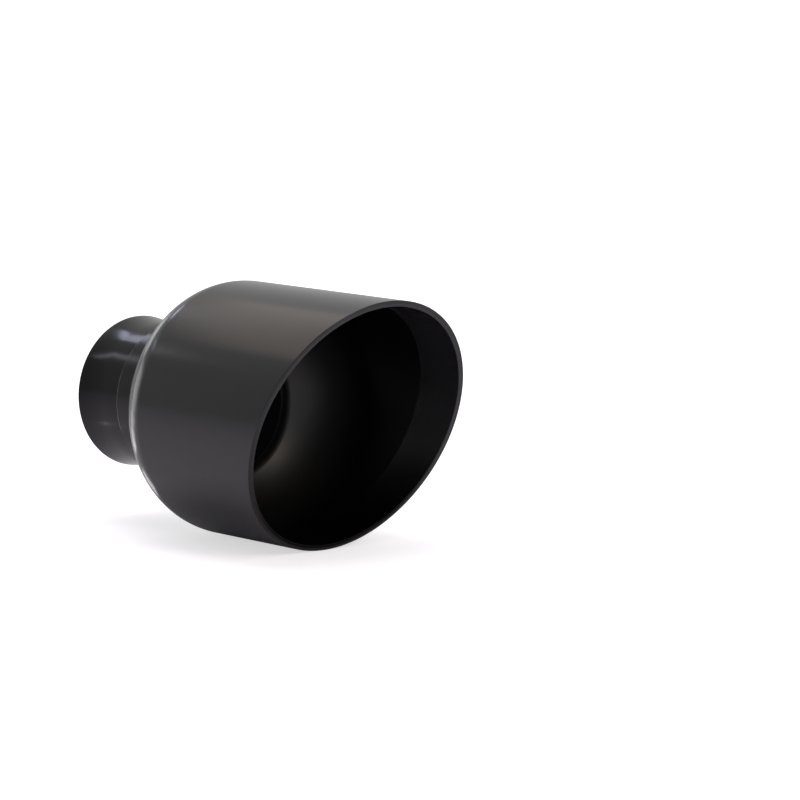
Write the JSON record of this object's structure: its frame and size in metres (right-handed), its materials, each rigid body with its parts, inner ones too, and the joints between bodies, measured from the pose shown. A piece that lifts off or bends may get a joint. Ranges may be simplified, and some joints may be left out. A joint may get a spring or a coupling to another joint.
{
  "type": "exhaust tip",
  "caption": "Black slash-cut exhaust tip with a double-walled round drum, a rounded shoulder and a slip-on inlet tube.",
  "frame": {"origin": "on the axis, where the inlet's straight bore begins, 20 mm in front of the inlet's flared end", "axes": "+X along the axis towards the mouth, +Z towards the long lip"},
  "size_m": [0.2028, 0.127, 0.127],
  "materials": {
    "shell_coat": "gloss black coating",
    "lip_coat": "gloss black coating",
    "liner_coat": "satin black coating",
    "tube_coat": "gloss black coating",
    "weld_coat": "gloss black coating over a weld"
  },
  "bodies": {
    "root": {"outer_shell": "shell_coat", "lip_ring": "lip_coat", "inner_liner": "liner_coat", "inlet_tube": "tube_coat", "neck_weld": "weld_coat"}
  },
  "joints": []
}
